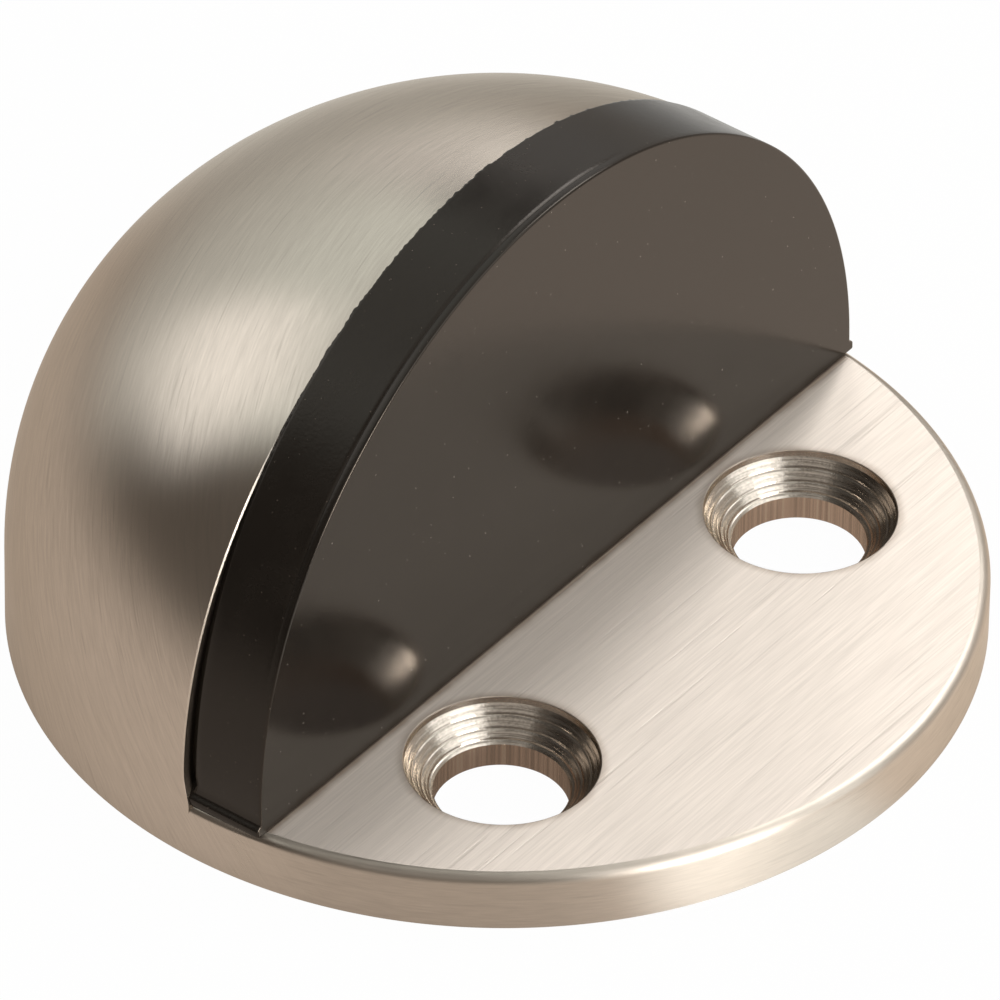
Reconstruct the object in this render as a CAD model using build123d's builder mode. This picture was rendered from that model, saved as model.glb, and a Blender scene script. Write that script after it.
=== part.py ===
from build123d import *
import os
from math import atan, cos, degrees, radians, sin, tan

# Floor door stop: a round screw plate and a half dome cast in one, with a rubber buffer on the flat face.
# Sizes are in millimetres. +Z is up and the door comes from -Y.
# The origin is the centre of the round base, on the floor.

# Casting: plate and half dome
base_radius = 22.5
plate_height = 2.9
rim_radius = 0.5
dome_shoulder = 3.8
dome_height = 24.6
face_y = 0.5
face_lean = 1.5
foot_depth = 0.3
foot_rise = 1.5
edge_break = 0.15
wall = 2.6
web = 2.6

# Screw holes in the plate
screw_spacing = 22.5
screw_y = -8.85
screw_hole_radius = 3.1
countersink_radius = 4.45
countersink_lip = 0.3
screw_seat_height = 1.2

# Rubber buffer: its outline follows the dome, a little narrower at the foot and proud at the top
buffer_thickness = 4.15
buffer_side_inset = 0.35
buffer_shoulder_rise = 0.2
buffer_top_rise = 0.4
flare_width = 0.25
flare_height = 0.35
flare_run = 0.3
buffer_edge = 0.12

# Push-in pegs that hold the buffer to the web
peg_spacing = 20.0
peg_height = 11.0
peg_hole_radius = 2.0
peg_clearance = 0.05
barb_grip = 0.7
barb_length = 2.2
barb_taper = 27.0

# Values that follow from the sizes above
buffer_front_y = face_y - buffer_thickness
lean = tan(radians(face_lean))
countersink_depth = plate_height - countersink_lip - screw_seat_height
countersink_angle = 2 * degrees(atan((countersink_radius - screw_hole_radius) / countersink_depth))
inner_radius = base_radius - wall
buffer_half_width = base_radius - buffer_side_inset
buffer_shoulder = dome_shoulder + buffer_shoulder_rise
buffer_height = dome_height + buffer_top_rise
flare_top = plate_height + flare_height
reach = 2 * base_radius


def leaning_y(y_at_plate, z):
    """Y of a surface that starts at the plate's top and leans back by the casting's draft."""
    return y_at_plate + lean * (z - plate_height)


def quarter_oval(half_width, shoulder, top):
    """Quarter of an oval in two arcs that meet at 45 degrees, from a straight side to the middle at the top."""
    rise = top - shoulder
    lean_in = cos(radians(45))
    side_radius = (rise * lean_in - half_width * (1 - lean_in)) / (2 * lean_in - 1)
    crown_radius = (half_width * lean_in - rise * (1 - lean_in)) / (2 * lean_in - 1)
    CenterArc((half_width - side_radius, shoulder), side_radius, 0, 45)
    CenterArc((0, top - crown_radius), crown_radius, 45, 45)


def face_plane(x, z, depth=0.0):
    """Plane on the flat face, looking into the dome, moved in by depth."""
    back = Vector(0, cos(radians(face_lean)), -sin(radians(face_lean)))
    on_face = Vector(x, leaning_y(face_y, z), z)
    return Plane(origin=on_face + back * depth, x_dir=(1, 0, 0), z_dir=back)


peg_places = [-peg_spacing / 2, peg_spacing / 2]

# Half dome: an oval dome on a straight wall, kept behind the leaning face, with a small foot
with BuildPart() as dome:
    with BuildSketch(Plane.XZ) as dome_section:
        with BuildLine():
            Polyline((0, 0), (base_radius, 0), (base_radius, dome_shoulder))
            quarter_oval(base_radius, dome_shoulder, dome_height)
            Line((0, dome_height), (0, 0))
        make_face()
    revolve(axis=Axis.Z)
    with BuildSketch(Plane.YZ) as kept_behind_face:
        with BuildLine():
            Polyline(
                (face_y - foot_depth, 0),
                (face_y - foot_depth, plate_height),
                (leaning_y(face_y, plate_height + foot_rise), plate_height + foot_rise),
                (leaning_y(face_y, reach), reach),
                (reach, reach),
                (reach, 0),
                close=True,
            )
        make_face()
    extrude(amount=reach, both=True, mode=Mode.INTERSECT)
    flat_face = dome.faces().filter_by(lambda face: face.normal_at().Y < 0).sort_by(SortBy.AREA)[-1]
    chamfer(flat_face.edges().filter_by(GeomType.LINE, reverse=True), edge_break)

# Cavity under the dome, left open at the floor
with BuildPart() as cavity:
    with BuildSketch(Plane.XZ) as cavity_section:
        with BuildLine():
            Polyline((0, 0), (inner_radius, 0), (inner_radius, dome_shoulder))
            quarter_oval(inner_radius, dome_shoulder, dome_height - wall)
            Line((0, dome_height - wall), (0, 0))
        make_face()
    revolve(axis=Axis.Z)
    with BuildSketch(Plane.YZ) as kept_behind_web:
        with BuildLine():
            Polyline(
                (leaning_y(face_y + web, 0), 0),
                (leaning_y(face_y + web, reach), reach),
                (reach, reach),
                (reach, 0),
                close=True,
            )
        make_face()
    extrude(amount=reach, both=True, mode=Mode.INTERSECT)

# Body: the plate with its rounded rim joined to the half dome, cored from below, with its holes
with BuildPart() as body:
    with BuildSketch() as plate_outline:
        Circle(base_radius)
    extrude(amount=plate_height)
    fillet(body.faces().sort_by(Axis.Z)[-1].edges(), rim_radius)
    add(dome.part)
    add(cavity.part, mode=Mode.SUBTRACT)
    with Locations((0, screw_y, plate_height - countersink_lip)):
        with GridLocations(screw_spacing, 0, 2, 1):
            CounterSinkHole(screw_hole_radius, countersink_radius, counter_sink_angle=countersink_angle)
    for x in peg_places:
        with BuildSketch(face_plane(x, peg_height)) as peg_hole:
            Circle(peg_hole_radius)
        extrude(amount=2 * web, both=True, mode=Mode.SUBTRACT)

# Rubber buffer: a half-oval slab against the flat face, with a flared foot and two barbed pegs
with BuildPart() as rubber_buffer:
    with BuildSketch(Plane.XZ) as buffer_outline:
        with BuildLine():
            Polyline(
                (0, plate_height),
                (buffer_half_width + flare_width, plate_height),
                (buffer_half_width + flare_width, flare_top),
                (buffer_half_width, flare_top + flare_run),
                (buffer_half_width, buffer_shoulder),
            )
            quarter_oval(buffer_half_width, buffer_shoulder, buffer_height)
            Line((0, buffer_height), (0, plate_height))
        make_face()
        mirror(about=Plane.YZ)
    extrude(amount=reach, both=True)
    with BuildSketch(Plane.YZ) as buffer_side:
        with BuildLine():
            Polyline(
                (buffer_front_y, plate_height),
                (face_y - foot_depth, plate_height),
                (leaning_y(face_y, plate_height + foot_rise), plate_height + foot_rise),
                (leaning_y(face_y, reach), reach),
                (leaning_y(buffer_front_y, reach), reach),
                close=True,
            )
        make_face()
    extrude(amount=reach, both=True, mode=Mode.INTERSECT)
    chamfer(rubber_buffer.faces().sort_by(Axis.Y)[0].edges(), buffer_edge)
    for x in peg_places:
        with BuildSketch(face_plane(x, peg_height)) as stem:
            Circle(peg_hole_radius - peg_clearance)
        extrude(amount=web + peg_clearance)
        with BuildSketch(face_plane(x, peg_height, web + peg_clearance)) as barb:
            Circle(peg_hole_radius + barb_grip)
        extrude(amount=barb_length, taper=barb_taper)

body.part.label = "body"
rubber_buffer.part.label = "rubber_buffer"

os.makedirs("parts", exist_ok=True)
export_step(body.part, "parts/body.step")
export_step(rubber_buffer.part, "parts/rubber_buffer.step")
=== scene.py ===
import math
import bmesh
import bpy
from mathutils import Matrix, Vector, geometry, noise


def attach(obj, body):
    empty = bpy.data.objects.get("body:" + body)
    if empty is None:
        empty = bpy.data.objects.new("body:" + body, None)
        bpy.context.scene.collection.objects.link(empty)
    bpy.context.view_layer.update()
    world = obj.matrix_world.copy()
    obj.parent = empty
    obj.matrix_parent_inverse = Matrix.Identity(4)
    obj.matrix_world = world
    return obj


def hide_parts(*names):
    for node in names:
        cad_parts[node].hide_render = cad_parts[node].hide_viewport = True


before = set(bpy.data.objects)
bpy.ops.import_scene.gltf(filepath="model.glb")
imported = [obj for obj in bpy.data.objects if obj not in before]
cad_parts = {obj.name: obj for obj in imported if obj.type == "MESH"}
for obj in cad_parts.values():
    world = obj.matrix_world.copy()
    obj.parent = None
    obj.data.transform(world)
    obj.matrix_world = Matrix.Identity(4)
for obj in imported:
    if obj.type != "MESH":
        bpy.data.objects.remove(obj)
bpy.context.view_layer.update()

# Floor door stop in satin nickel with a grey rubber buffer. Lengths below are in millimetres.
mm = 0.001


# Mesh helpers

def addRow(bm, points):
    return [bm.verts.new(Vector(point) * mm) for point in points]


def addSheet(bm, rows, slot, closed=False):
    # quads between neighbouring rows of points; points that coincide are merged later
    made = [addRow(bm, row) for row in rows]
    for low, high in zip(made, made[1:]):
        count = len(low)
        for i in range(count if closed else count - 1):
            j = (i + 1) % count
            face = bm.faces.new((low[i], low[j], high[j], high[i]))
            face.material_index = slot
            face.smooth = True
    return made


def addPlate(bm, loops, slot):
    # a flat face with its first loop as outline and the others as holes
    points = [[Vector(point) for point in loop] for loop in loops]
    flat = [point for loop in points for point in loop]
    verts = [bm.verts.new(point * mm) for point in flat]
    for corners in geometry.tessellate_polygon(points):
        face = bm.faces.new([verts[i] for i in corners])
        face.material_index = slot
        face.smooth = False


def circleAt(centreX, centreY, radius, height, count):
    turn = 2 * math.pi / count
    return [(centreX + radius * math.cos(i * turn), centreY + radius * math.sin(i * turn), height)
            for i in range(count)]


def finishMesh(bm, name, materials, sharpAngle):
    bmesh.ops.remove_doubles(bm, verts=bm.verts, dist=0.0002 * mm)
    bmesh.ops.dissolve_degenerate(bm, edges=bm.edges, dist=0.0001 * mm)
    bmesh.ops.recalc_face_normals(bm, faces=bm.faces)
    for edge in bm.edges:
        if len(edge.link_faces) == 2 and edge.calc_face_angle() > math.radians(sharpAngle):
            edge.smooth = False
    openEdges = sum(1 for edge in bm.edges if len(edge.link_faces) != 2)
    mesh = bpy.data.meshes.new(name)
    bm.to_mesh(mesh)
    bm.free()
    for material in materials:
        mesh.materials.append(material)
    piece = bpy.data.objects.new(name, mesh)
    bpy.context.scene.collection.objects.link(piece)
    weighted = piece.modifiers.new("evenNormals", "WEIGHTED_NORMAL")
    weighted.mode = "FACE_AREA"
    weighted.weight = 50
    weighted.keep_sharp = True
    print(name, "made:", len(mesh.polygons), "faces,", openEdges, "open edges")
    return piece


# Casting

casting = {
    "baseRadius": 22.5,
    "plateHeight": 2.9,
    "rimRadius": 0.5,
    "domeShoulder": 3.8,
    "domeHeight": 24.6,
    "faceY": 0.5,
    "faceLean": 1.5,
    "footDepth": 0.3,
    "footRise": 1.5,
    "edgeBreak": 0.06,
    "wall": 2.6,
    "web": 2.6,
    "screwSpacing": 22.5,
    "screwY": -8.85,
    "screwHole": 3.1,
    "countersink": 4.45,
    "lip": 0.3,
    "lipRound": 0.05,
    "seatHeight": 1.2,
    "turningMarks": [(0.13, 0.03, 0.012), (0.3, 0.035, 0.03), (0.47, 0.02, 0.01), (0.62, 0.03, 0.03),
                     (0.76, 0.02, 0.012), (0.88, 0.035, 0.04)],
    "turningSteps": 56,
    "pegSpacing": 20.0,
    "pegHeight": 11.0,
    "pegHole": 2.0,
    "pegCorners": 64,
    "columns": 360,
    "domeRows": 100,
    "rimSteps": 12,
    "wallSteps": 5,
    "lipSteps": 3,
    "ringCorners": 160,
    "grooveShare": 0.7,
    "cavityLow": 1.9,
    "cavityRows": 40,
    "cavityColumns": 120,
    "sharpAngle": 28,
}
lean = math.tan(math.radians(casting["faceLean"]))


def faceAt(height):
    # y of the flat face of the dome, with its small foot on the plate
    top = casting["plateHeight"] + casting["footRise"]
    flat = casting["faceY"] + lean * (max(height, top) - casting["plateHeight"])
    if height >= top:
        return flat
    share = max(0.0, (height - casting["plateHeight"]) / casting["footRise"])
    return (casting["faceY"] - casting["footDepth"]) * (1 - share) + flat * share


def ovalPoint(radius, shoulder, top, angle):
    # quarter of an oval in two arcs that meet at 45 degrees; the surface leans by the angle
    rise = top - shoulder
    leanIn = math.cos(math.pi / 4)
    sideRadius = (rise * leanIn - radius * (1 - leanIn)) / (2 * leanIn - 1)
    crownRadius = (radius * leanIn - rise * (1 - leanIn)) / (2 * leanIn - 1)
    if angle < math.pi / 4:
        return radius - sideRadius * (1 - math.cos(angle)), shoulder + sideRadius * math.sin(angle)
    return crownRadius * math.cos(angle), top - crownRadius * (1 - math.sin(angle))


def topAngle(radius, shoulder, top, edge):
    # angle up the oval at which it meets the leaning edge at x = 0
    low, high = 0.0, math.pi / 2
    for step in range(50):
        middle = (low + high) / 2
        reach, height = ovalPoint(radius, shoulder, top, middle)
        if reach > edge(height):
            low = middle
        else:
            high = middle
    return low


def arcAt(radius, height, start, span, count):
    turns = [start + span * i / count for i in range(count + 1)]
    return [(radius * math.cos(turn), radius * math.sin(turn), height) for turn in turns]


def backArc(radius, height, edgeY, count):
    # points round the back from the +X side to the -X side, starting at edgeY
    start = math.asin(min(1.0, edgeY / radius))
    return arcAt(radius, height, start, math.pi - 2 * start, count)


def frontArc(radius, height, edgeY, count):
    # points round the front from the -X side to the +X side
    start = math.asin(edgeY / radius)
    return arcAt(radius, height, math.pi - start, math.pi + 2 * start, count)


def ovalRows(radius, shoulder, top, edge, lowHeights, rowCount):
    # (radius, height, angle) of an oval dome, from the straight wall up to where it meets the edge
    rows = [(radius, height, 0.0) for height in lowHeights]
    last = topAngle(radius, shoulder, top, edge)
    for i in range(rowCount + 1):
        angle = last * math.sin(math.pi / 2 * i / rowCount)
        rows.append((*ovalPoint(radius, shoulder, top, angle), angle))
    return rows


# ways into the dome and up, both following the lean of the flat face
faceTurn = math.radians(casting["faceLean"])
backWay = Vector((0, math.cos(faceTurn), -math.sin(faceTurn)))
upWay = Vector((0, math.sin(faceTurn), math.cos(faceTurn)))


def pegRing(middle, radius):
    # circle of points round a peg, square to its length
    turns = [2 * math.pi * i / casting["pegCorners"] for i in range(casting["pegCorners"])]
    return [middle + Vector((1, 0, 0)) * radius * math.cos(turn) + upWay * radius * math.sin(turn)
            for turn in turns]


def buildCasting(materials):
    c = casting
    slots = {"outside": 0, "plate": 1, "drilled": 2, "cast": 3, "paintedRecessShade": 4}
    bm = bmesh.new()
    plateEdge = faceAt(c["plateHeight"])
    rimLow = c["plateHeight"] - c["rimRadius"]
    rimProfile = []
    for i in range(c["rimSteps"] + 1):
        bend = math.pi / 2 * i / c["rimSteps"]
        rimProfile.append((c["baseRadius"] - c["rimRadius"] * (1 - math.cos(bend)),
                           rimLow + c["rimRadius"] * math.sin(bend)))

    # outside: plate side wall and rounded rim in front, dome wall behind
    frontRows = [frontArc(c["baseRadius"], 0, plateEdge, c["columns"])]
    frontRows += [frontArc(radius, height, plateEdge, c["columns"]) for radius, height in rimProfile]
    addSheet(bm, frontRows, slots["outside"])

    def broken(height):
        # the edge break fades in above the foot
        share = min(1.0, max(0.0, (height - c["plateHeight"]) / c["footRise"]))
        return c["edgeBreak"] * share

    def domeEdge(height):
        return faceAt(height) + broken(height)

    lowHeights = [0] + [height for radius, height in rimProfile]
    lowHeights += [c["plateHeight"] + (c["domeShoulder"] - c["plateHeight"]) * i / c["wallSteps"]
                   for i in range(1, c["wallSteps"])]
    domeProfile = ovalRows(c["baseRadius"], c["domeShoulder"], c["domeHeight"], domeEdge,
                           lowHeights, c["domeRows"])
    domeRows = [backArc(radius, height, domeEdge(height), c["columns"])
                for radius, height, angle in domeProfile]
    addSheet(bm, domeRows, slots["outside"])

    # edge break and flat face, row by row
    rightRim = [Vector(row[0]) for row in domeRows]
    leftRim = [Vector(row[-1]) for row in domeRows]
    rightFace, leftFace = [], []
    for right, (radius, height, angle) in zip(rightRim, domeProfile):
        outward = Vector((right.x / radius * math.cos(angle), 0, math.sin(angle))).normalized()
        x = right.x - outward.x * broken(height)
        z = right.z - outward.z * broken(height)
        rightFace.append(Vector((max(0.0, x), faceAt(z), z)))
        leftFace.append(Vector((-max(0.0, x), faceAt(z), z)))
    addSheet(bm, [rightRim, rightFace], slots["outside"])
    addSheet(bm, [leftRim, leftFace], slots["outside"])
    plateRow = next(i for i, row in enumerate(domeProfile) if row[1] >= c["plateHeight"] - 1e-6)
    footRow = next(i for i, point in enumerate(rightFace) if point.z > c["plateHeight"] + c["footRise"])
    # small faces between the rounded rim and the dome wall
    for side in (1, -1):
        edge = [Vector((side * math.sqrt(radius ** 2 - plateEdge ** 2), plateEdge, height))
                for radius, height in rimProfile]
        wallSide = rightRim if side > 0 else leftRim
        addSheet(bm, [edge, wallSide[1:plateRow + 1]], slots["paintedRecessShade"])
    rimX = math.sqrt((c["baseRadius"] - c["rimRadius"]) ** 2 - plateEdge ** 2)
    foot = [Vector((rimX, plateEdge, c["plateHeight"]))] + rightFace[plateRow:footRow + 1]
    foot += list(reversed(leftFace[plateRow:footRow + 1])) + [Vector((-rimX, plateEdge, c["plateHeight"]))]
    addPlate(bm, [foot], slots["paintedRecessShade"])
    holes, backHoles = [], []
    webDepth = c["web"] * math.cos(faceTurn)
    for x in (-c["pegSpacing"] / 2, c["pegSpacing"] / 2):
        middle = Vector((x, faceAt(c["pegHeight"]), c["pegHeight"]))
        ring = pegRing(middle, c["pegHole"])
        holes.append(ring)
        backHoles.append([point + backWay * webDepth for point in ring])
    # the flat face and its foot get the dark finish of painted shade for the gap behind the rubber
    face = rightFace[footRow:] + list(reversed(leftFace[footRow:-1]))
    addPlate(bm, [face] + holes, slots["paintedRecessShade"])
    for ring, backRing in zip(holes, backHoles):
        addSheet(bm, [ring, backRing], slots["cast"], closed=True)

    # cavity behind the web, open at the floor
    innerRadius = c["baseRadius"] - c["wall"]
    innerTop = c["domeHeight"] - c["wall"]

    def webAt(height):
        return c["faceY"] + c["web"] + lean * (height - c["plateHeight"])

    innerProfile = ovalRows(innerRadius, c["domeShoulder"], innerTop, webAt,
                            [0, c["cavityLow"]], c["cavityRows"])
    innerRows = [backArc(radius, height, webAt(height), c["cavityColumns"])
                 for radius, height, angle in innerProfile]
    addSheet(bm, innerRows, slots["cast"])
    web = [row[0] for row in innerRows] + [row[-1] for row in reversed(innerRows[:-1])]
    addPlate(bm, [web] + backHoles, slots["cast"])

    # plate top with its countersunk screw holes, and the underside
    topLoops = []
    floorLoops = []
    coneHigh = c["plateHeight"] - c["lip"]
    profile = [(c["countersink"] + c["lipRound"], c["plateHeight"])]
    for i in range(1, c["lipSteps"] + 1):
        bend = math.pi / 2 * i / c["lipSteps"]
        profile.append((c["countersink"] + c["lipRound"] * (1 - math.sin(bend)),
                        c["plateHeight"] - c["lipRound"] * (1 - math.cos(bend))))
    profile.append((c["countersink"] - 0.02, coneHigh))
    for i in range(1, c["turningSteps"] + 1):
        share = i / c["turningSteps"]
        groove = sum(depth * math.exp(-((share - place) / width) ** 2)
                     for place, width, depth in c["turningMarks"])
        groove *= c["grooveShare"]
        profile.append((c["countersink"] + (c["screwHole"] - c["countersink"]) * share + groove,
                        coneHigh + (c["seatHeight"] - coneHigh) * share - groove))
    profile.append((c["screwHole"], 0))
    for x in (-c["screwSpacing"] / 2, c["screwSpacing"] / 2):
        rows = [circleAt(x, c["screwY"], radius, height, c["ringCorners"]) for radius, height in profile]
        addSheet(bm, rows[:c["lipSteps"] + 1], slots["plate"], closed=True)
        addSheet(bm, rows[c["lipSteps"]:], slots["drilled"], closed=True)
        topLoops.append(rows[0])
        floorLoops.append(rows[-1])
    plateRim = frontArc(c["baseRadius"] - c["rimRadius"], c["plateHeight"], plateEdge, c["columns"])
    addPlate(bm, [plateRim] + topLoops, slots["plate"])
    outline = frontRows[0] + domeRows[0][1:-1]
    cavityLoop = innerRows[0]
    addPlate(bm, [outline, cavityLoop] + floorLoops, slots["cast"])
    return finishMesh(bm, "casting", materials, c["sharpAngle"])


# Rubber buffer

buffer = {
    "thickness": 4.15,
    "halfWidth": 22.15,
    "shoulder": 4.0,
    "height": 25.0,
    "foot": 2.9,
    "flare": 0.25,
    "flareHeight": 0.35,
    "flareRun": 0.3,
    "frontRound": 0.1,
    "recessDepth": 0.42,
    "recessInset": 0.5,
    "recessLow": (-0.1, 0.5),
    "recessTop": (5.0, 24.0),
    "recessSteps": [(0.0, 0.08), (0.02, 0.03), (0.08, -0.01), (1.0, -0.06)],
    "seam": 0.16,
    "sideEnd": 0.25,
    "raggedFrom": (15.0, 20.0),
    "raggedSide": (8.0, 13.0),
    "raggedNoise": [(1.9, 4.0, 1.0), (4.3, 9.0, 0.7)],
    "raggedShare": 0.6,
    "raggedDepth": 0.14,
    "tornInset": 0.9,
    "tornSteps": [(0.2, 0.07), (0.6, 0.03), (1.0, 0.0)],
    "mouldLine": 0.42,
    "mouldLineDepth": 0.03,
    "mouldLineEdges": (0.06, 0.05),
    "mouldLineFrom": (9.0, 15.0),
    "mouldLineSide": (2.0, 6.0),
    "cornerRound": 0.12,
    "sideRows": 16,
    "columns": 1040,
    "footColumns": 60,
    "sharpAngle": 40,
}


def bufferOutline():
    # closed outline in x and z: up the right side, over the top, down the left and back along the foot
    b = buffer
    right = []
    for i in range(7):
        bend = math.pi / 2 * i / 6
        right.append((b["halfWidth"] + b["flare"] - b["cornerRound"] * (1 - math.sin(bend)),
                      b["foot"] + b["cornerRound"] * (1 - math.cos(bend))))
    right.append((b["halfWidth"] + b["flare"], b["foot"] + b["flareHeight"]))
    for i in range(1, 9):
        share = i / 8
        smooth = share * share * (3 - 2 * share)
        right.append((b["halfWidth"] + b["flare"] * (1 - smooth),
                      b["foot"] + b["flareHeight"] + b["flareRun"] * share))
    right.append((b["halfWidth"], b["shoulder"]))
    quarter = b["columns"] // 2
    for i in range(1, quarter + 1):
        angle = math.pi / 2 * i / quarter
        right.append(ovalPoint(b["halfWidth"], b["shoulder"], b["height"], angle))
    left = [(-x, z) for x, z in reversed(right[:-1])]
    start = left[-1][0]
    foot = [(start + (right[0][0] - start) * i / b["footColumns"], b["foot"])
            for i in range(1, b["footColumns"])]
    return right + left + foot


def insetLoop(loop, distances):
    # moves a closed outline inwards along its own normals, by a distance for each point
    count = len(loop)
    moved = []
    for i in range(count):
        before = Vector(loop[i - 1])
        after = Vector(loop[(i + 1) % count])
        along = (after - before).normalized()
        moved.append((loop[i][0] - along.y * distances[i], loop[i][1] + along.x * distances[i]))
    return moved


def fadeBetween(value, low, high):
    share = min(1.0, max(0.0, (value - low) / (high - low)))
    return share * share * (3 - 2 * share)


def buildBuffer(materials):
    b = buffer
    bm = bmesh.new()
    outline = bufferOutline()
    front = casting["faceY"] - b["thickness"]
    rows = []
    slots = []
    flareTop = b["foot"] + b["flareHeight"] + b["flareRun"]
    recessLow = [flareTop + rise for rise in b["recessLow"]]
    recess = [b["recessInset"] * fadeBetween(z, *recessLow) * (1 - fadeBetween(z, *b["recessTop"]))
              for x, z in outline]
    share = [part / b["recessInset"] for part in recess]
    chips = []
    for x, z in outline:
        bumps = sum(weight * noise.noise(Vector((x * scale, layer, z * scale)))
                    for scale, layer, weight in b["raggedNoise"])
        torn = fadeBetween(z, *b["raggedFrom"]) * (1 - fadeBetween(x, *b["raggedSide"]))
        chips.append(b["raggedDepth"] * torn * max(0.0, bumps + b["raggedShare"]))
    groove = [b["mouldLineDepth"] * fadeBetween(z, *b["mouldLineFrom"])
              * (1 - fadeBetween(x, *b["mouldLineSide"])) for x, z in outline]

    def addLoop(inset, slot, fromFront=None, fromBack=None):
        # one loop round the side; its place is set from the front, or from the back point by point
        row = []
        for i, (x, z) in enumerate(insetLoop(outline, inset)):
            near = front + lean * (z - b["foot"])
            y = near + fromFront if fromBack is None else faceAt(z) - fromBack[i]
            row.append((x, y, z))
        rows.append(row)
        slots.append(slot)

    flat = [0.0] * len(outline)
    for i in range(6):
        bend = math.pi / 2 * i / 5
        addLoop([b["frontRound"] * (1 - math.sin(bend))] * len(outline), 0,
                fromFront=b["frontRound"] * (1 - math.cos(bend)))
    before, after = b["mouldLineEdges"]
    addLoop(flat, 1, fromFront=b["mouldLine"] - before)
    addLoop(groove, 1, fromFront=b["mouldLine"])
    addLoop(flat, 1, fromFront=b["mouldLine"] + after)
    last = b["thickness"] - b["recessDepth"] - b["sideEnd"]
    for i in range(1, b["sideRows"]):
        addLoop(flat, 1, fromFront=b["mouldLine"] + after + (last - b["mouldLine"]) * i / b["sideRows"])
    # the recess grows deeper and wider towards the foot; above it only the torn edge is left
    depths = [b["seam"] + (b["recessDepth"] - b["seam"]) * part for part in share]
    for inset, forward in b["recessSteps"]:
        addLoop([inset * part if inset < 1 else width for part, width in zip(share, recess)], 1,
                fromBack=[depth + forward for depth in depths])
    for chipped, back in b["tornSteps"]:
        addLoop([width * b["tornInset"] + chip * chipped for width, chip in zip(recess, chips)], 1,
                fromBack=[back] * len(outline))
    made = [addRow(bm, row) for row in rows]
    for low, high, slot in zip(made, made[1:], slots[1:]):
        for i in range(len(low)):
            j = (i + 1) % len(low)
            quad = bm.faces.new((low[i], low[j], high[j], high[i]))
            quad.material_index = slot
            quad.smooth = True
    addPlate(bm, [rows[0]], 0)
    addPlate(bm, [rows[-1]], 1)
    return finishMesh(bm, "rubberBuffer", materials, b["sharpAngle"])


# Push-in pegs of the buffer, with (radius, depth behind the flat face) from the root to the tip

pegs = {
    "root": -0.3,
    "profile": [(1.95, 2.65), (2.6, 2.65), (2.7, 2.75), (2.68, 2.95), (1.66, 4.75), (1.5, 4.85),
                (0.0, 4.85)],
    "sharpAngle": 40,
}


def buildPegs(materials):
    c = casting
    bm = bmesh.new()
    stem = pegs["profile"][0][0]
    for x in (-c["pegSpacing"] / 2, c["pegSpacing"] / 2):
        start = Vector((x, faceAt(c["pegHeight"]), c["pegHeight"]))
        rows = [pegRing(start + backWay * depth, radius)
                for radius, depth in [(0.0, pegs["root"]), (stem, pegs["root"])] + pegs["profile"]]
        addSheet(bm, rows, 0, closed=True)
    return finishMesh(bm, "bufferPegs", materials, pegs["sharpAngle"])


# Materials

def newMaterial(name):
    material = bpy.data.materials.new(name)
    material.use_nodes = True
    return material, material.node_tree


def addNode(tree, kind, **settings):
    node = tree.nodes.new(kind)
    for key, value in settings.items():
        setattr(node, key, value)
    return node


def setInputs(node, values):
    # gives sockets, by name or number, a plain value or a link from another node
    for key, value in values.items():
        if isinstance(value, bpy.types.NodeSocket):
            node.id_data.links.new(value, node.inputs[key])
        else:
            node.inputs[key].default_value = value


def mathOf(tree, operation, *values):
    node = addNode(tree, "ShaderNodeMath", operation=operation)
    setInputs(node, dict(enumerate(values)))
    return node.outputs[0]


def vectorOf(tree, operation, *values, result="Vector"):
    node = addNode(tree, "ShaderNodeVectorMath", operation=operation)
    setInputs(node, dict(enumerate(values)))
    return node.outputs[result]


def scaledBy(tree, vector, scale):
    node = addNode(tree, "ShaderNodeVectorMath", operation="SCALE")
    setInputs(node, {0: vector, "Scale": scale})
    return node.outputs[0]


def splitOf(tree, vector):
    node = tree.nodes.new("ShaderNodeSeparateXYZ")
    tree.links.new(vector, node.inputs[0])
    return node.outputs


def noiseOf(tree, place, scale, detail, **more):
    node = tree.nodes.new("ShaderNodeTexNoise")
    setInputs(node, {"Vector": place, "Scale": scale, "Detail": detail, **more})
    return node.outputs["Fac"]


def fadeOf(tree, value, low, high, kind="SMOOTHSTEP", least=0.0, most=1.0):
    # runs smoothly from least to most as the value goes from low to high
    node = addNode(tree, "ShaderNodeMapRange", interpolation_type=kind)
    setInputs(node, {"Value": value, "From Min": low, "From Max": high, "To Min": least, "To Max": most})
    return node.outputs[0]


def mixOf(tree, kind, low, high, factor, **settings):
    # mixes two colours, vectors or numbers, each of them plain or from another node
    node = addNode(tree, "ShaderNodeMix", data_type=kind, **settings)
    setInputs(node, {"A": low, "B": high, "Factor": factor})
    return node.outputs["Result"]


def sumOf(tree, parts):
    # adds value * factor for every (value, factor)
    total = 0.0
    for value, factor in parts:
        total = mathOf(tree, "MULTIPLY_ADD", value, factor, total)
    return total


def makeGroup(name, inputs, outputs):
    tree = bpy.data.node_groups.new(name, "ShaderNodeTree")
    for label, kind, value in inputs:
        socket = tree.interface.new_socket(name=label, in_out="INPUT", socket_type=kind)
        socket.default_value = value
    for label, kind in outputs:
        tree.interface.new_socket(name=label, in_out="OUTPUT", socket_type=kind)
    start = tree.nodes.new("NodeGroupInput")
    end = tree.nodes.new("NodeGroupOutput")
    return tree, start.outputs, end


def placeGroup(tree, group, values):
    node = tree.nodes.new("ShaderNodeGroup")
    node.node_tree = group
    setInputs(node, values)
    return node.outputs


def placeInMillimetres(tree):
    # the place on the piece
    place = tree.nodes.new("ShaderNodeTexCoord")
    return scaledBy(tree, place.outputs["Object"], 1 / mm)


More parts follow.
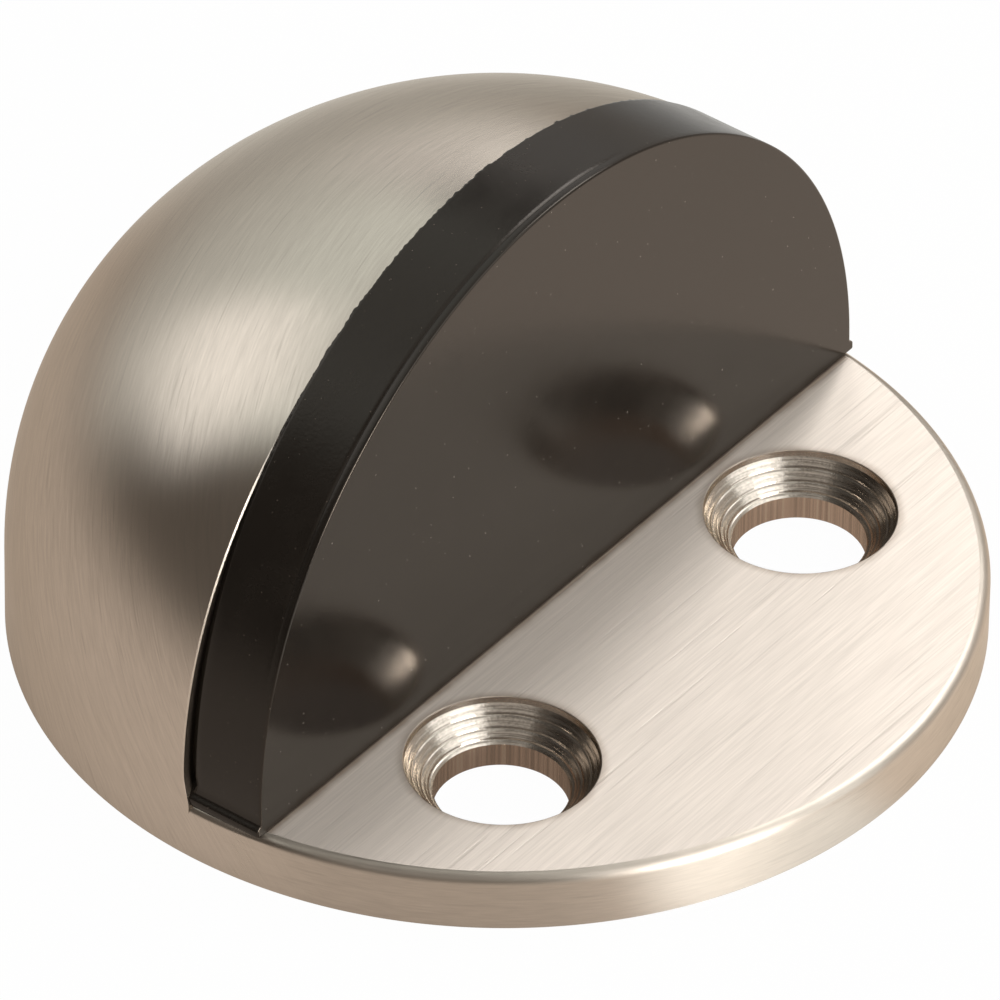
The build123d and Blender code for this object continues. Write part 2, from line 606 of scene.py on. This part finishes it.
def fromScrewHole(tree, split):
    # flat vector from the middle of the nearer screw hole
    flat = tree.nodes.new("ShaderNodeCombineXYZ")
    side = mathOf(tree, "ABSOLUTE", split["X"])
    setInputs(flat, {"X": mathOf(tree, "SUBTRACT", side, casting["screwSpacing"] / 2),
                     "Y": mathOf(tree, "SUBTRACT", split["Y"], casting["screwY"])})
    return flat.outputs[0]


def makeBrushStrokes():
    # strokes run in planes square to Across; Fine and Long are noise cells per millimetre
    tree, given, end = makeGroup(
        "brushStrokes",
        [("Across", "NodeSocketVector", (0, 1, 0)), ("Fine", "NodeSocketFloat", 10.0),
         ("Long", "NodeSocketFloat", 0.3), ("Contrast", "NodeSocketFloat", 1.0),
         ("Scratches", "NodeSocketFloat", 0.5)],
        [("Height", "NodeSocketFloat"), ("Shade", "NodeSocketFloat")])
    spot = placeInMillimetres(tree)
    distance = vectorOf(tree, "DOT_PRODUCT", spot, given["Across"], result="Value")

    def streaks(fineShare, longShare, detail, shift):
        cells = mathOf(tree, "MULTIPLY_ADD", given["Fine"], fineShare, 0.5)
        across = scaledBy(tree, given["Across"], mathOf(tree, "MULTIPLY", distance, cells))
        along = scaledBy(tree, spot, mathOf(tree, "MULTIPLY", given["Long"], longShare))
        both = vectorOf(tree, "ADD", along, across)
        moved = vectorOf(tree, "ADD", both, (shift, shift * 0.7, shift * 1.3))
        return noiseOf(tree, moved, 1.0, detail, Roughness=0.6)

    fine = streaks(1.0, 1.0, 2.0, 0.0)
    broad = streaks(0.3, 0.35, 2.0, 5.0)
    hairs = fadeOf(tree, streaks(0.55, 0.3, 1.0, 11.0), 0.64, 0.72)
    cut = mathOf(tree, "MULTIPLY", hairs, given["Scratches"])
    tone = sumOf(tree, [(fine, 0.6), (broad, 0.4), (0.5, -1.0)])
    spread = mathOf(tree, "MULTIPLY_ADD", tone, given["Contrast"], 0.5)
    setInputs(end, {"Height": sumOf(tree, [(fine, 0.7), (broad, 0.3), (cut, -0.6)]),
                    "Shade": sumOf(tree, [(spread, 1.0), (cut, -0.5)])})
    return tree


def makeTurningMarks():
    # fine rings round both screw holes, and streaks down the walls of the holes
    tree, given, end = makeGroup(
        "turningMarks",
        [("Rings", "NodeSocketFloat", 14.0), ("Streaks", "NodeSocketFloat", 18.0),
         ("Contrast", "NodeSocketFloat", 1.0), ("Chatter", "NodeSocketFloat", 0.5)],
        [("Height", "NodeSocketFloat"), ("Shade", "NodeSocketFloat"), ("Bored", "NodeSocketFloat")])
    spot = placeInMillimetres(tree)
    split = splitOf(tree, spot)
    fromHole = fromScrewHole(tree, split)
    radius = vectorOf(tree, "LENGTH", fromHole, result="Value")
    turn = vectorOf(tree, "NORMALIZE", fromHole)
    ringPlace = tree.nodes.new("ShaderNodeCombineXYZ")
    setInputs(ringPlace, {"X": mathOf(tree, "MULTIPLY", radius, given["Rings"])})
    ringSpot = vectorOf(tree, "ADD", ringPlace.outputs[0], scaledBy(tree, turn, 1.2))
    rings = noiseOf(tree, ringSpot, 1.0, 2.0)
    streaks = noiseOf(tree, scaledBy(tree, turn, given["Streaks"]), 1.0, 3.0)
    pits = mathOf(tree, "SUBTRACT", noiseOf(tree, spot, 7.0, 3.0), 0.5)
    chatter = mathOf(tree, "MULTIPLY", pits, given["Chatter"])
    inHole = mathOf(tree, "LESS_THAN", split["Z"], casting["seatHeight"])
    marks = mixOf(tree, "FLOAT", mathOf(tree, "ADD", rings, chatter),
                  sumOf(tree, [(streaks, 2.5), (0.5, -1.5)]), inHole)
    tone = mathOf(tree, "SUBTRACT", marks, 0.5)
    setInputs(end, {"Height": marks, "Bored": inHole,
                    "Shade": mathOf(tree, "MULTIPLY_ADD", tone, given["Contrast"], 0.5)})
    return tree


def makePaintedShade():
    # painted shade: darker along the rubber's foot and round both countersinks
    tree, given, end = makeGroup(
        "paintedShade", [("Reach", "NodeSocketFloat", 0.3)], [("PaintedShade", "NodeSocketFloat")])
    spot = placeInMillimetres(tree)
    split = splitOf(tree, spot)
    radius = vectorOf(tree, "LENGTH", fromScrewHole(tree, split), result="Value")
    patches = noiseOf(tree, spot, 0.8, 4.0)
    fromRim = mathOf(tree, "SUBTRACT", radius, casting["countersink"])
    fromFoot = mathOf(tree, "SUBTRACT", casting["faceY"] - buffer["thickness"], split["Y"])
    parts = []
    for away, share in ((fromRim, 0.6), (fromFoot, 1.0)):
        unevenly = mathOf(tree, "MULTIPLY_ADD", patches, -0.35, away)
        parts.append(fadeOf(tree, unevenly, given["Reach"], -0.3, kind="SMOOTHERSTEP", most=share))
    setInputs(end, {"PaintedShade": mathOf(tree, "MAXIMUM", *parts)})
    return tree


def makeRubberMarks():
    # soft clouds, fine grain and sparse light dust; Dust is specks per millimetre
    tree, given, end = makeGroup(
        "rubberMarks",
        [("Dust", "NodeSocketFloat", 1.5), ("Dust Size", "NodeSocketFloat", 0.05),
         ("Grain", "NodeSocketFloat", 8.0)],
        [("Dust", "NodeSocketFloat"), ("Clouds", "NodeSocketFloat"), ("Height", "NodeSocketFloat")])
    spot = placeInMillimetres(tree)
    specks = addNode(tree, "ShaderNodeTexVoronoi", feature="F1")
    setInputs(specks, {"Vector": spot, "Scale": given["Dust"]})
    chance = splitOf(tree, specks.outputs["Color"])["X"]
    reach = mathOf(tree, "MULTIPLY", chance, given["Dust Size"])
    near = mathOf(tree, "DIVIDE", specks.outputs["Distance"], reach)
    dust = fadeOf(tree, near, 1.0, 0.5)
    clouds = noiseOf(tree, spot, 0.35, 5.0, Roughness=0.65, Distortion=0.6)
    grain = noiseOf(tree, spot, given["Grain"], 2.0)
    setInputs(end, {"Dust": dust, "Clouds": clouds,
                    "Height": sumOf(tree, [(grain, 0.5), (clouds, 0.5), (dust, 0.8)])})
    return tree


brushStrokes = makeBrushStrokes()
turningMarks = makeTurningMarks()
paintedShade = makePaintedShade()
rubberMarks = makeRubberMarks()
print("surface effects made: strokes, turning marks, soil, rubber marks")


def tintWhere(tree, shader, color, mask):
    # tints the base colour where the mask is 1, with its marks still showing
    plain = shader.inputs["Base Color"].links[0].from_socket
    tinted = mixOf(tree, "RGBA", plain, (*color, 1), mask, blend_type="MULTIPLY")
    tree.links.new(tinted, shader.inputs["Base Color"])


def alongStrokes(tree, across):
    # direction of the strokes on the surface
    normal = tree.nodes.new("ShaderNodeNewGeometry").outputs["Normal"]
    return vectorOf(tree, "CROSS_PRODUCT", normal, across)


def stretchShine(shader, look, tangent):
    # draws highlights out across the strokes
    setInputs(shader, {"Anisotropic": look["anisotropy"], "Anisotropic Rotation": 0.25,
                       "Tangent": tangent})


def addBump(tree, shader, height, depth):
    bump = tree.nodes.new("ShaderNodeBump")
    setInputs(bump, {"Strength": 1.0, "Distance": depth * mm, "Height": height})
    tree.links.new(bump.outputs[0], shader.inputs["Normal"])


def metalFinish(tree, look, shade, height):
    # colour, gloss and bump of the nickel from a shade and a height between 0 and 1
    shader = tree.nodes["Principled BSDF"]
    dark = [part * (1 - look["toneSpread"]) for part in look["color"]]
    light = [part * (1 + look["toneSpread"]) for part in look["color"]]
    rough = look["roughness"]
    setInputs(shader, {
        "Metallic": 1.0,
        "Specular Tint": (*nickelEdge, 1),
        "Base Color": mixOf(tree, "RGBA", (*dark, 1), (*light, 1), shade),
        "Roughness": mixOf(tree, "FLOAT", rough + glossSwing, rough - glossSwing, shade)})
    addBump(tree, shader, height, look["depth"])
    return shader


def brushedNickel(name, look):
    # one brushed direction, or two where "second" gives another for the front of the plate's edge
    material, tree = newMaterial(name)
    values = {"Fine": look["fine"], "Long": look["long"], "Contrast": look["contrast"],
              "Scratches": look["scratches"]}
    strokes = placeGroup(tree, brushStrokes, {**values, "Across": look["across"]})
    height, shade = strokes["Height"], strokes["Shade"]
    tangent = alongStrokes(tree, look["across"])
    roughness = None
    if "second" in look:
        second = look["second"]
        others = placeGroup(tree, brushStrokes, {**values, "Across": second["across"]})
        split = splitOf(tree, placeInMillimetres(tree))
        front = fadeOf(tree, split["Y"], second["from"], second["to"])
        height = mixOf(tree, "FLOAT", height, others["Height"], front)
        shade = mixOf(tree, "FLOAT", shade, others["Shade"], front)
        turned = alongStrokes(tree, second["across"])
        tangent = mixOf(tree, "VECTOR", tangent, turned, front)
        roughness = mixOf(tree, "FLOAT", look["roughness"], second["roughness"], front)
    shader = metalFinish(tree, look, shade, height)
    if roughness:
        varied = sumOf(tree, [(roughness, 1.0), (shade, -0.05), (0.5, 0.05)])
        tree.links.new(varied, shader.inputs["Roughness"])
    if look["anisotropy"]:
        stretchShine(shader, look, tangent)
    # painted shade on the plate along the rubber's foot and round the countersinks
    if "paintedShade" in look:
        shadeMask = placeGroup(tree, paintedShade, {"Reach": look["paintedShadeReach"]})
        tintWhere(tree, shader, look["paintedShade"], shadeMask["PaintedShade"])
    return material


def turnedNickel(name, look):
    material, tree = newMaterial(name)
    marks = placeGroup(tree, turningMarks,
                       {"Rings": look["rings"], "Streaks": look["streaks"],
                        "Contrast": look["contrast"], "Chatter": look["chatter"]})
    shader = metalFinish(tree, look, marks["Shade"], marks["Height"])
    tintWhere(tree, shader, look["bored"], marks["Bored"])
    stretchShine(shader, look, alongStrokes(tree, (0, 0, 1)))
    return material


def mouldedRubber(name, look):
    material, tree = newMaterial(name)
    shader = tree.nodes["Principled BSDF"]
    marks = placeGroup(tree, rubberMarks, {"Dust": look["dust"], "Dust Size": look["dustSize"],
                                           "Grain": look["grain"]})
    dark = [part * 0.7 for part in look["color"]]
    light = [part * 1.3 for part in look["color"]]
    plain = mixOf(tree, "RGBA", (*dark, 1), (*light, 1), marks["Clouds"])
    setInputs(shader, {
        "IOR": look["ior"],
        "Specular Tint": (*look["sheenTint"], 1),
        "Base Color": mixOf(tree, "RGBA", plain, (*look["dustColor"], 1), marks["Dust"]),
        "Roughness": mixOf(tree, "FLOAT", look["roughness"] - look["glossSpread"],
                           look["roughness"] + look["glossSpread"], marks["Clouds"])})
    addBump(tree, shader, marks["Height"], look["depth"])
    return material


glossSwing = 0.03
nickel = (0.62, 0.57, 0.51)
nickelEdge = (0.8, 0.77, 0.72)
castingLooks = {
    "outside": {"color": nickel, "roughness": 0.23, "anisotropy": 0.78, "across": (0.089, 0.804, -0.588),
                "fine": 10.0, "long": 0.8, "contrast": 1.8, "scratches": 0.8, "toneSpread": 0.11,
                "depth": 0.0016,
                "second": {"across": (0, 0, 1), "roughness": 0.36, "from": 1.0, "to": -9.0}},
    # the plate's darkening along the rubber's foot and round the countersinks is painted shade
    "plate": {"color": (0.62, 0.57, 0.52), "roughness": 0.33, "anisotropy": 0.9, "across": (0, 1, 0),
              "fine": 9.0, "long": 0.3, "contrast": 2.0, "scratches": 0.8, "toneSpread": 0.16,
              "depth": 0.0045, "paintedShade": (0.45, 0.39, 0.34), "paintedShadeReach": 0.4},
    "drilled": {"color": nickel, "roughness": 0.22, "anisotropy": 0.85, "rings": 14.0, "streaks": 18.0,
                "contrast": 1.5, "chatter": 0.9, "toneSpread": 0.2, "depth": 0.005,
                "bored": (1.42, 1.2, 1.08)},
    "cast": {"color": (0.5, 0.47, 0.43), "roughness": 0.5, "anisotropy": 0.0, "across": (0, 0, 1),
             "fine": 2.5, "long": 2.5, "contrast": 1.5, "scratches": 0.0, "toneSpread": 0.12,
             "depth": 0.02},
    # painted shade: the dome's flat face round the rubber is nearly black, standing in for the shade in
    # the gap behind the rubber
    "paintedRecessShade": {"color": (0.2, 0.17, 0.14), "roughness": 0.5, "anisotropy": 0.0, "across": (0, 0, 1),
              "fine": 3.0, "long": 3.0, "contrast": 1.5, "scratches": 0.0, "toneSpread": 0.2,
              "depth": 0.01},
}
castingMaterials = [
    brushedNickel("brushedNickel", castingLooks["outside"]),
    brushedNickel("plateNickel", castingLooks["plate"]),
    turnedNickel("turnedNickel", castingLooks["drilled"]),
    brushedNickel("castNickel", castingLooks["cast"]),
    brushedNickel("paintedRecessShadeFace", castingLooks["paintedRecessShade"]),
]
print("casting finishes made:", len(castingMaterials))
castingPiece = buildCasting(castingMaterials)
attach(castingPiece, "root")
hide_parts("body")

bufferLooks = {
    "face": {"color": (0.009, 0.0075, 0.0065), "ior": 1.5, "sheenTint": (1.0, 0.89, 0.78),
             "roughness": 0.17, "glossSpread": 0.08, "dust": 1.8, "dustSize": 0.1,
             "dustColor": (0.14, 0.125, 0.11), "grain": 7.0, "depth": 0.0026},
    "side": {"color": (0.013, 0.0105, 0.0085), "ior": 1.44, "sheenTint": (1.0, 0.93, 0.86),
             "roughness": 0.24, "glossSpread": 0.1, "dust": 3.0, "dustSize": 0.12,
             "dustColor": (0.1, 0.08, 0.065), "grain": 6.0, "depth": 0.011},
}
rubberMaterials = [mouldedRubber("rubberFace", bufferLooks["face"]),
                   mouldedRubber("rubberSide", bufferLooks["side"])]
print("rubber finishes made:", len(rubberMaterials))
bufferPiece = buildBuffer(rubberMaterials)
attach(bufferPiece, "root")
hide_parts("rubber_buffer")
pegPiece = buildPegs([rubberMaterials[1]])
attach(pegPiece, "root")
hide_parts("rubber_buffer")


# Floor, world and camera

def makeDirectionAngles():
    # azimuth and elevation of a direction, in radians; azimuth 0 is -Y and grows towards +X
    tree, given, end = makeGroup(
        "directionAngles", [("Direction", "NodeSocketVector", (0, 0, 1))],
        [("Azimuth", "NodeSocketFloat"), ("Elevation", "NodeSocketFloat")])
    split = splitOf(tree, given["Direction"])
    away = mathOf(tree, "MULTIPLY", split["Y"], -1.0)
    setInputs(end, {"Azimuth": mathOf(tree, "ARCTAN2", split["X"], away),
                    "Elevation": mathOf(tree, "ARCSINE", split["Z"])})
    return tree


def makeSoftWindow():
    # mask of a soft-edged window, from the angles of a direction and of the window's middle, in radians
    tree, given, end = makeGroup(
        "softWindow",
        [("Azimuth", "NodeSocketFloat", 0.0), ("Elevation", "NodeSocketFloat", 0.0),
         ("Middle Azimuth", "NodeSocketFloat", 0.0), ("Middle Elevation", "NodeSocketFloat", 0.0),
         ("Half Width", "NodeSocketFloat", 0.3), ("Half Height", "NodeSocketFloat", 0.3),
         ("Tilt", "NodeSocketFloat", 0.0), ("Blur", "NodeSocketFloat", 0.1)],
        [("Mask", "NodeSocketFloat")])

    def number(operation, *values):
        return mathOf(tree, operation, *values)

    around = number("SUBTRACT", given["Azimuth"], given["Middle Azimuth"])
    across = number("WRAP", around, math.pi, -math.pi)
    above = number("SUBTRACT", given["Elevation"], given["Middle Elevation"])
    cosine = number("COSINE", given["Tilt"])
    sine = number("SINE", given["Tilt"])
    sideways = number("SUBTRACT", number("MULTIPLY", across, cosine), number("MULTIPLY", above, sine))
    upwards = number("ADD", number("MULTIPLY", across, sine), number("MULTIPLY", above, cosine))
    masks = []
    for distance, half in ((sideways, given["Half Width"]), (upwards, given["Half Height"])):
        inner = number("SUBTRACT", half, given["Blur"])
        outer = number("ADD", half, given["Blur"])
        masks.append(fadeOf(tree, number("ABSOLUTE", distance), inner, outer, least=1.0, most=0.0))
    setInputs(end, {"Mask": number("MULTIPLY", *masks)})
    return tree


directionAngles = makeDirectionAngles()
softWindow = makeSoftWindow()


def paintWindows(tree, direction, base, windows):
    # windows lie over each other in order, each with its own colour and brightness
    angles = placeGroup(tree, directionAngles, {"Direction": direction})
    color = (*base, 1)
    for window in windows:
        values = {"Middle Azimuth": window["azimuth"], "Middle Elevation": window["elevation"],
                  "Half Width": window["width"] / 2, "Half Height": window["height"] / 2,
                  "Tilt": window["tilt"], "Blur": window["blur"]}
        values = {key: math.radians(value) for key, value in values.items()}
        mask = placeGroup(tree, softWindow,
                          {**values, "Azimuth": angles["Azimuth"], "Elevation": angles["Elevation"]})
        glow = [part * window["strength"] for part in window["color"]]
        color = mixOf(tree, "RGBA", color, (*glow, 1), mask["Mask"])
    return color


floorLook = {
    "halfSize": 3000.0,
    "roughness": 0.9,
    "color": (0.8, 0.8, 0.79),
    "cameraShare": 0.98,
    "mirroredColor": (0.64, 0.54, 0.46),
    "paintedShadowUnder": (17.0, 24.5, 0.3),
    "farAway": (45.0, 140.0, 0.62),
    "windows": [
        {"azimuth": 45, "elevation": 0, "width": 100, "height": 90, "tilt": 0, "blur": 8,
         "strength": 1.0, "color": (1.02, 0.87, 0.74)},
        {"azimuth": -17, "elevation": 0, "width": 32, "height": 90, "tilt": 0, "blur": 6,
         "strength": 1.0, "color": (1.3, 1.26, 1.2)},
        {"azimuth": 125, "elevation": 0, "width": 60, "height": 90, "tilt": 0, "blur": 12,
         "strength": 1.0, "color": (0.86, 0.84, 0.8)},
    ],
}


def buildFloor():
    mesh = bpy.data.meshes.new("floor")
    half = floorLook["halfSize"] * mm
    corners = [(-half, -half, 0), (half, -half, 0), (half, half, 0), (-half, half, 0)]
    mesh.from_pydata(corners, [], [(0, 1, 2, 3)])
    floor = bpy.data.objects.new("floor", mesh)
    bpy.context.scene.collection.objects.link(floor)
    material, tree = newMaterial("floorPaint")
    shader = tree.nodes["Principled BSDF"]
    setInputs(shader, {"Base Color": (*floorLook["color"], 1), "Roughness": floorLook["roughness"]})
    # painted reflection: for glossy rays the floor glows, pale on the right, warmer and darker on the left
    place = tree.nodes.new("ShaderNodeNewGeometry").outputs["Position"]
    outward = vectorOf(tree, "NORMALIZE", place)
    seen = paintWindows(tree, outward, floorLook["mirroredColor"], floorLook["windows"])
    # painted shadow: darker under the base; also darker far from it
    fromMiddle = vectorOf(tree, "LENGTH", place, result="Value")
    inner, outer, shade = floorLook["paintedShadowUnder"]
    near = fadeOf(tree, fromMiddle, inner * mm, outer * mm, least=shade)
    inner, outer, shade = floorLook["farAway"]
    far = fadeOf(tree, fromMiddle, inner * mm, outer * mm, least=1.0, most=shade)
    mirrored = tree.nodes.new("ShaderNodeEmission")
    setInputs(mirrored, {"Color": seen, "Strength": mathOf(tree, "MULTIPLY", near, far)})
    path = tree.nodes.new("ShaderNodeLightPath").outputs
    toMetal = tree.nodes.new("ShaderNodeMixShader")
    setInputs(toMetal, {0: path["Is Glossy Ray"], 1: shader.outputs[0], 2: mirrored.outputs[0]})
    # the camera sees plain white with a share of the object's shadow
    glow = tree.nodes.new("ShaderNodeEmission")
    toCamera = tree.nodes.new("ShaderNodeMixShader")
    share = mathOf(tree, "MULTIPLY", path["Is Camera Ray"], floorLook["cameraShare"])
    setInputs(toCamera, {0: share, 1: toMetal.outputs[0], 2: glow.outputs[0]})
    tree.links.new(toCamera.outputs[0], tree.nodes["Material Output"].inputs[0])
    mesh.materials.append(material)


studio = {
    "walls": (0.86, 0.89, 0.83),
    "windows": [
        {"azimuth": 0, "elevation": 0, "width": 400, "height": 70, "tilt": 0, "blur": 18,
         "strength": 0.62, "color": (1.0, 0.99, 0.92)},
        {"azimuth": 0, "elevation": -4, "width": 400, "height": 24, "tilt": 0, "blur": 8,
         "strength": 0.48, "color": (1.0, 0.96, 0.88)},
        {"azimuth": 0, "elevation": 88, "width": 400, "height": 56, "tilt": 0, "blur": 8,
         "strength": 0.55, "color": (1.0, 0.97, 0.9)},
        {"azimuth": 80, "elevation": 5, "width": 90, "height": 60, "tilt": 0, "blur": 10,
         "strength": 0.42, "color": (1.0, 0.9, 0.8)},
        {"azimuth": -92, "elevation": 22, "width": 130, "height": 94, "tilt": -45, "blur": 8,
         "strength": 0.1, "color": (1.0, 0.84, 0.7)},
        {"azimuth": -62, "elevation": 46, "width": 70, "height": 18, "tilt": 0, "blur": 8,
         "strength": 0.6, "color": (1.0, 0.93, 0.85)},
        {"azimuth": 124, "elevation": 45, "width": 26, "height": 22, "tilt": 0, "blur": 6,
         "strength": 0.15, "color": (1.0, 0.98, 0.93)},
        {"azimuth": 131, "elevation": 26, "width": 28, "height": 24, "tilt": 0, "blur": 8,
         "strength": 0.75, "color": (1.02, 0.98, 0.94)},
        {"azimuth": 84, "elevation": 50, "width": 26, "height": 26, "tilt": 0, "blur": 6,
         "strength": 3.4, "color": (1.0, 0.96, 0.93)},
        {"azimuth": 108, "elevation": 48, "width": 17, "height": 24, "tilt": 0, "blur": 4,
         "strength": 5.2, "color": (1.0, 0.97, 0.94)},
        {"azimuth": -165, "elevation": 34, "width": 32, "height": 32, "tilt": 0, "blur": 8,
         "strength": 1.3, "color": (1.02, 0.99, 0.95)},
        {"azimuth": 4, "elevation": 35, "width": 66, "height": 50, "tilt": 0, "blur": 4,
         "strength": 1.55, "color": (1.0, 0.98, 0.95)},
        {"azimuth": -7, "elevation": 13, "width": 24, "height": 11, "tilt": 0, "blur": 3,
         "strength": 22.0, "color": (1.0, 0.92, 0.84)},
    ],
}


def buildWorld():
    world = bpy.data.worlds.new("studio")
    bpy.context.scene.world = world
    world.use_nodes = True
    tree = world.node_tree
    direction = tree.nodes.new("ShaderNodeTexCoord")
    color = paintWindows(tree, direction.outputs["Generated"], studio["walls"], studio["windows"])
    path = tree.nodes.new("ShaderNodeLightPath").outputs
    seen = mixOf(tree, "RGBA", color, (1, 1, 1, 1), path["Is Camera Ray"])
    tree.links.new(seen, tree.nodes["Background"].inputs["Color"])


camera = {
    "focalLength": 546.89,
    "sensorWidth": 36.0,
    "clipEnd": 20000.0,
    "distance": 691.0,
    "azimuth": -53.21,
    "elevation": 39.185,
    "roll": 0.976,
    "lookAt": (0.0915, 0.0, 6.2324),
}


def buildCamera():
    azimuth = math.radians(camera["azimuth"])
    elevation = math.radians(camera["elevation"])
    roll = math.radians(camera["roll"])
    back = Vector((math.sin(azimuth) * math.cos(elevation), -math.cos(azimuth) * math.cos(elevation),
                   math.sin(elevation)))
    right = (-back).cross(Vector((0, 0, 1))).normalized()
    up = right.cross(-back)
    sideways = right * math.cos(roll) + up * math.sin(roll)
    upwards = up * math.cos(roll) - right * math.sin(roll)
    lens = bpy.data.cameras.new("photoView")
    lens.lens = camera["focalLength"]
    lens.sensor_width = camera["sensorWidth"]
    lens.clip_end = camera["clipEnd"] * mm
    view = bpy.data.objects.new("photoView", lens)
    place = (Vector(camera["lookAt"]) + back * camera["distance"]) * mm
    turn = Matrix((sideways, upwards, back)).transposed().to_4x4()
    view.matrix_world = Matrix.Translation(place) @ turn
    bpy.context.scene.collection.objects.link(view)
    bpy.context.scene.camera = view


buildFloor()
print("floor made")
buildWorld()
print("studio lit by", len(studio["windows"]), "windows")
buildCamera()
print("camera placed")
bpy.context.scene.view_settings.view_transform = "Standard"
